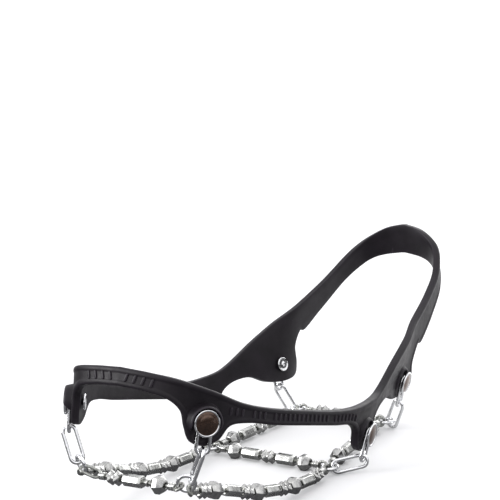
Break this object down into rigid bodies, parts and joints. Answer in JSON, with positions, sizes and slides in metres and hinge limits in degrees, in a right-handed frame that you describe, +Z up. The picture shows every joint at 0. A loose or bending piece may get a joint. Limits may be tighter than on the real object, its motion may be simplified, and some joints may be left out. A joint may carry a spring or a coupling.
{
  "type": "shoe ice cleat",
  "caption": "Stretch rubber harness that fits round a winter boot, with riveted chain drops holding a net of beaded steel cable under the sole for grip on ice.",
  "frame": {"origin": "on the ground under the middle of the harness", "axes": "+Z up, the toe towards -Y, and +X the wearer's left side"},
  "size_m": [0.112, 0.2807, 0.097],
  "materials": {
    "rubber": "moulded, satin",
    "rivet_cap": "dark glossy domed cap in a bright rim",
    "chain": "bright zinc plating",
    "cable": "stranded and crimped steel",
    "bead": "case-hardened, worn bright on the edges"
  },
  "bodies": {
    "harness": {"harness_band": "rubber", "rivet_front_left": "rivet_cap", "rivet_front_right": "rivet_cap", "rivet_mid_left": "rivet_cap", "rivet_mid_right": "rivet_cap", "rivet_rear_left": "rivet_cap", "rivet_rear_right": "rivet_cap", "cable_front_cross": "cable", "cable_mid_cross": "cable", "cable_rear_cross": "cable", "cable_fore_left": "cable", "cable_rear_left": "cable", "cable_fore_right": "cable", "cable_rear_right": "cable"},
    "tab_link_front_left": {"tab_link_front_left": "chain"},
    "junction_ring_front_left": {"junction_ring_front_left": "chain"},
    "drop_link_front_left": {"drop_link_front_left": "chain"},
    "tab_link_front_right": {"tab_link_front_right": "chain"},
    "junction_ring_front_right": {"junction_ring_front_right": "chain"},
    "drop_link_front_right": {"drop_link_front_right": "chain"},
    "tab_link_mid_left": {"tab_link_mid_left": "chain"},
    "junction_ring_mid_left": {"junction_ring_mid_left": "chain"},
    "drop_link_mid_left": {"drop_link_mid_left": "chain"},
    "tab_link_mid_right": {"tab_link_mid_right": "chain"},
    "junction_ring_mid_right": {"junction_ring_mid_right": "chain"},
    "drop_link_mid_right": {"drop_link_mid_right": "chain"},
    "tab_link_rear_left": {"tab_link_rear_left": "chain"},
    "junction_ring_rear_left": {"junction_ring_rear_left": "chain"},
    "drop_link_rear_left": {"drop_link_rear_left": "chain"},
    "tab_link_rear_right": {"tab_link_rear_right": "chain"},
    "junction_ring_rear_right": {"junction_ring_rear_right": "chain"},
    "drop_link_rear_right": {"drop_link_rear_right": "chain"},
    "diamond_bead_front_cross_1": {"diamond_bead_front_cross_1": "bead"},
    "star_bead_front_cross_1": {"star_bead_front_cross_1": "bead"},
    "diamond_bead_mid_cross_1": {"diamond_bead_mid_cross_1": "bead"},
    "star_bead_mid_cross_1": {"star_bead_mid_cross_1": "bead"},
    "diamond_bead_mid_cross_2": {"diamond_bead_mid_cross_2": "bead"},
    "diamond_bead_rear_cross_1": {"diamond_bead_rear_cross_1": "bead"},
    "star_bead_rear_cross_1": {"star_bead_rear_cross_1": "bead"},
    "star_bead_fore_left_1": {"star_bead_fore_left_1": "bead"},
    "diamond_bead_fore_left_1": {"diamond_bead_fore_left_1": "bead"},
    "star_bead_fore_left_2": {"star_bead_fore_left_2": "bead"},
    "diamond_bead_fore_left_2": {"diamond_bead_fore_left_2": "bead"},
    "star_bead_fore_left_3": {"star_bead_fore_left_3": "bead"},
    "diamond_bead_fore_left_3": {"diamond_bead_fore_left_3": "bead"},
    "star_bead_fore_left_4": {"star_bead_fore_left_4": "bead"},
    "diamond_bead_rear_left_1": {"diamond_bead_rear_left_1": "bead"},
    "star_bead_rear_left_1": {"star_bead_rear_left_1": "bead"},
    "diamond_bead_rear_left_2": {"diamond_bead_rear_left_2": "bead"},
    "star_bead_fore_right_1": {"star_bead_fore_right_1": "bead"},
    "diamond_bead_fore_right_1": {"diamond_bead_fore_right_1": "bead"},
    "star_bead_fore_right_2": {"star_bead_fore_right_2": "bead"},
    "diamond_bead_fore_right_2": {"diamond_bead_fore_right_2": "bead"},
    "star_bead_fore_right_3": {"star_bead_fore_right_3": "bead"},
    "diamond_bead_fore_right_3": {"diamond_bead_fore_right_3": "bead"},
    "star_bead_fore_right_4": {"star_bead_fore_right_4": "bead"},
    "diamond_bead_rear_right_1": {"diamond_bead_rear_right_1": "bead"},
    "star_bead_rear_right_1": {"star_bead_rear_right_1": "bead"},
    "diamond_bead_rear_right_2": {"diamond_bead_rear_right_2": "bead"}
  },
  "joints": [
    {"name": "tab_link_front_left_swing", "type": "hinge", "parent": "harness", "child": "tab_link_front_left", "pos_m": [0.03791, -0.12719, 0.0612], "axis": [0.8275, -0.5526, 0.0991], "range_deg": [-3, 3]},
    {"name": "junction_ring_front_left_spin", "type": "hinge", "parent": "harness", "child": "junction_ring_front_left", "pos_m": [0.03051, -0.13375, 0.03354], "axis": [0.4376, -0.8747, -0.2084], "continuous": true},
    {"name": "drop_link_front_left_twist", "type": "hinge", "parent": "harness", "child": "drop_link_front_left", "pos_m": [0.03583, -0.1322, 0.04192], "axis": [-0.3781, -0.1103, -0.9192], "range_deg": [-14, 15]},
    {"name": "tab_link_front_right_swing", "type": "hinge", "parent": "harness", "child": "tab_link_front_right", "pos_m": [-0.03791, -0.12719, 0.0612], "axis": [-0.8275, -0.5526, 0.0991], "range_deg": [-3, 3]},
    {"name": "junction_ring_front_right_spin", "type": "hinge", "parent": "harness", "child": "junction_ring_front_right", "pos_m": [-0.03051, -0.13375, 0.03354], "axis": [-0.4376, -0.8747, -0.2084], "continuous": true},
    {"name": "drop_link_front_right_twist", "type": "hinge", "parent": "harness", "child": "drop_link_front_right", "pos_m": [-0.03583, -0.1322, 0.04192], "axis": [0.3781, -0.1103, -0.9192], "range_deg": [-15, 14]},
    {"name": "tab_link_mid_left_swing", "type": "hinge", "parent": "harness", "child": "tab_link_mid_left", "pos_m": [0.05111, -0.00695, 0.0196], "axis": [0.9773, 0.1252, -0.171], "range_deg": [-3, 3]},
    {"name": "junction_ring_mid_left_spin", "type": "hinge", "parent": "harness", "child": "junction_ring_mid_left", "pos_m": [0.03684, -0.02053, 0.0039], "axis": [0, 0, 1], "continuous": true},
    {"name": "drop_link_mid_left_twist", "type": "hinge", "parent": "harness", "child": "drop_link_mid_left", "pos_m": [0.04549, -0.01514, 0.00511], "axis": [-0.8328, -0.5193, -0.192], "range_deg": [-15, 15]},
    {"name": "tab_link_mid_right_swing", "type": "hinge", "parent": "harness", "child": "tab_link_mid_right", "pos_m": [-0.05111, -0.00695, 0.0196], "axis": [-0.9773, 0.1252, -0.171], "range_deg": [-3, 3]},
    {"name": "junction_ring_mid_right_spin", "type": "hinge", "parent": "harness", "child": "junction_ring_mid_right", "pos_m": [-0.03684, -0.02053, 0.0039], "axis": [0, 0, 1], "continuous": true},
    {"name": "drop_link_mid_right_twist", "type": "hinge", "parent": "harness", "child": "drop_link_mid_right", "pos_m": [-0.04549, -0.01514, 0.00511], "axis": [0.8328, -0.5193, -0.192], "range_deg": [-15, 15]},
    {"name": "tab_link_rear_left_swing", "type": "hinge", "parent": "harness", "child": "tab_link_rear_left", "pos_m": [0.04035, 0.05214, 0.029], "axis": [0.9631, 0.1149, -0.2432], "range_deg": [-3, 2]},
    {"name": "junction_ring_rear_left_spin", "type": "hinge", "parent": "harness", "child": "junction_ring_rear_left", "pos_m": [0.02891, 0.05558, 0.0039], "axis": [0, 0, 1], "continuous": true},
    {"name": "drop_link_rear_left_twist", "type": "hinge", "parent": "harness", "child": "drop_link_rear_left", "pos_m": [0.03541, 0.05299, 0.00945], "axis": [-0.4411, 0.1755, -0.8801], "range_deg": [-15, 15]},
    {"name": "tab_link_rear_right_swing", "type": "hinge", "parent": "harness", "child": "tab_link_rear_right", "pos_m": [-0.04035, 0.05214, 0.029], "axis": [-0.9631, 0.1149, -0.2432], "range_deg": [-2, 3]},
    {"name": "junction_ring_rear_right_spin", "type": "hinge", "parent": "harness", "child": "junction_ring_rear_right", "pos_m": [-0.02891, 0.05558, 0.0039], "axis": [0, 0, 1], "continuous": true},
    {"name": "drop_link_rear_right_twist", "type": "hinge", "parent": "harness", "child": "drop_link_rear_right", "pos_m": [-0.03541, 0.05299, 0.00945], "axis": [0.4411, 0.1755, -0.8801], "range_deg": [-15, 15]},
    {"name": "diamond_bead_front_cross_1_spin", "type": "hinge", "parent": "harness", "child": "diamond_bead_front_cross_1", "pos_m": [0.01562, -0.13463, 0.03084], "axis": [-0.9991, 0.0159, -0.0384], "continuous": true},
    {"name": "star_bead_front_cross_1_spin", "type": "hinge", "parent": "harness", "child": "star_bead_front_cross_1", "pos_m": [-0.01011, -0.13422, 0.02985], "axis": [-0.9991, 0.0159, -0.0384], "continuous": true},
    {"name": "diamond_bead_mid_cross_1_spin", "type": "hinge", "parent": "harness", "child": "diamond_bead_mid_cross_1", "pos_m": [0.02163, -0.02053, 0.0039], "axis": [-1, 0, 0], "continuous": true},
    {"name": "star_bead_mid_cross_1_spin", "type": "hinge", "parent": "harness", "child": "star_bead_mid_cross_1", "pos_m": [0, -0.02053, 0.0039], "axis": [-1, 0, 0], "continuous": true},
    {"name": "diamond_bead_mid_cross_2_spin", "type": "hinge", "parent": "harness", "child": "diamond_bead_mid_cross_2", "pos_m": [-0.02163, -0.02053, 0.0039], "axis": [-1, 0, 0], "continuous": true},
    {"name": "diamond_bead_rear_cross_1_spin", "type": "hinge", "parent": "harness", "child": "diamond_bead_rear_cross_1", "pos_m": [0.01221, 0.05558, 0.0039], "axis": [-1, 0, 0], "continuous": true},
    {"name": "star_bead_rear_cross_1_spin", "type": "hinge", "parent": "harness", "child": "star_bead_rear_cross_1", "pos_m": [-0.01241, 0.05558, 0.0039], "axis": [-1, 0, 0], "continuous": true},
    {"name": "star_bead_fore_left_1_spin", "type": "hinge", "parent": "harness", "child": "star_bead_fore_left_1", "pos_m": [0.03102, -0.12259, 0.02629], "axis": [0.0501, 0.9522, -0.3014], "continuous": true},
    {"name": "diamond_bead_fore_left_1_spin", "type": "hinge", "parent": "harness", "child": "diamond_bead_fore_left_1", "pos_m": [0.03149, -0.11445, 0.02368], "axis": [0.0628, 0.9484, -0.3107], "continuous": true},
    {"name": "star_bead_fore_left_2_spin", "type": "hinge", "parent": "harness", "child": "star_bead_fore_left_2", "pos_m": [0.03395, -0.09261, 0.0155], "axis": [0.1261, 0.9254, -0.3575], "continuous": true},
    {"name": "diamond_bead_fore_left_2_spin", "type": "hinge", "parent": "harness", "child": "diamond_bead_fore_left_2", "pos_m": [0.03494, -0.0846, 0.01268], "axis": [0.099, 0.9512, -0.2924], "continuous": true},
    {"name": "star_bead_fore_left_3_spin", "type": "hinge", "parent": "harness", "child": "star_bead_fore_left_3", "pos_m": [0.03662, -0.06435, 0.00777], "axis": [0.0644, 0.9793, -0.1921], "continuous": true},
    {"name": "diamond_bead_fore_left_3_spin", "type": "hinge", "parent": "harness", "child": "diamond_bead_fore_left_3", "pos_m": [0.0371, -0.05595, 0.00626], "axis": [0.0482, 0.9861, -0.1591], "continuous": true},
    {"name": "star_bead_fore_left_4_spin", "type": "hinge", "parent": "harness", "child": "star_bead_fore_left_4", "pos_m": [0.03734, -0.03517, 0.00415], "axis": [-0.0512, 0.9982, -0.0304], "continuous": true},
    {"name": "diamond_bead_rear_left_1_spin", "type": "hinge", "parent": "harness", "child": "diamond_bead_rear_left_1", "pos_m": [0.03309, -0.00525, 0.0039], "axis": [-0.1247, 0.9922, 0], "continuous": true},
    {"name": "star_bead_rear_left_1_spin", "type": "hinge", "parent": "harness", "child": "star_bead_rear_left_1", "pos_m": [0.03022, 0.01758, 0.0039], "axis": [-0.1247, 0.9922, 0], "continuous": true},
    {"name": "diamond_bead_rear_left_2_spin", "type": "hinge", "parent": "harness", "child": "diamond_bead_rear_left_2", "pos_m": [0.02735, 0.04041, 0.0039], "axis": [-0.1247, 0.9922, 0], "continuous": true},
    {"name": "star_bead_fore_right_1_spin", "type": "hinge", "parent": "harness", "child": "star_bead_fore_right_1", "pos_m": [-0.03102, -0.12259, 0.02629], "axis": [-0.0501, 0.9522, -0.3014], "continuous": true},
    {"name": "diamond_bead_fore_right_1_spin", "type": "hinge", "parent": "harness", "child": "diamond_bead_fore_right_1", "pos_m": [-0.03149, -0.11445, 0.02368], "axis": [-0.0628, 0.9484, -0.3107], "continuous": true},
    {"name": "star_bead_fore_right_2_spin", "type": "hinge", "parent": "harness", "child": "star_bead_fore_right_2", "pos_m": [-0.03395, -0.09261, 0.0155], "axis": [-0.1261, 0.9254, -0.3575], "continuous": true},
    {"name": "diamond_bead_fore_right_2_spin", "type": "hinge", "parent": "harness", "child": "diamond_bead_fore_right_2", "pos_m": [-0.03494, -0.0846, 0.01268], "axis": [-0.099, 0.9512, -0.2924], "continuous": true},
    {"name": "star_bead_fore_right_3_spin", "type": "hinge", "parent": "harness", "child": "star_bead_fore_right_3", "pos_m": [-0.03662, -0.06435, 0.00777], "axis": [-0.0644, 0.9793, -0.1921], "continuous": true},
    {"name": "diamond_bead_fore_right_3_spin", "type": "hinge", "parent": "harness", "child": "diamond_bead_fore_right_3", "pos_m": [-0.0371, -0.05595, 0.00626], "axis": [-0.0482, 0.9861, -0.1591], "continuous": true},
    {"name": "star_bead_fore_right_4_spin", "type": "hinge", "parent": "harness", "child": "star_bead_fore_right_4", "pos_m": [-0.03734, -0.03517, 0.00415], "axis": [0.0512, 0.9982, -0.0304], "continuous": true},
    {"name": "diamond_bead_rear_right_1_spin", "type": "hinge", "parent": "harness", "child": "diamond_bead_rear_right_1", "pos_m": [-0.03309, -0.00525, 0.0039], "axis": [0.1247, 0.9922, 0], "continuous": true},
    {"name": "star_bead_rear_right_1_spin", "type": "hinge", "parent": "harness", "child": "star_bead_rear_right_1", "pos_m": [-0.03022, 0.01758, 0.0039], "axis": [0.1247, 0.9922, 0], "continuous": true},
    {"name": "diamond_bead_rear_right_2_spin", "type": "hinge", "parent": "harness", "child": "diamond_bead_rear_right_2", "pos_m": [-0.02735, 0.04041, 0.0039], "axis": [0.1247, 0.9922, 0], "continuous": true}
  ]
}
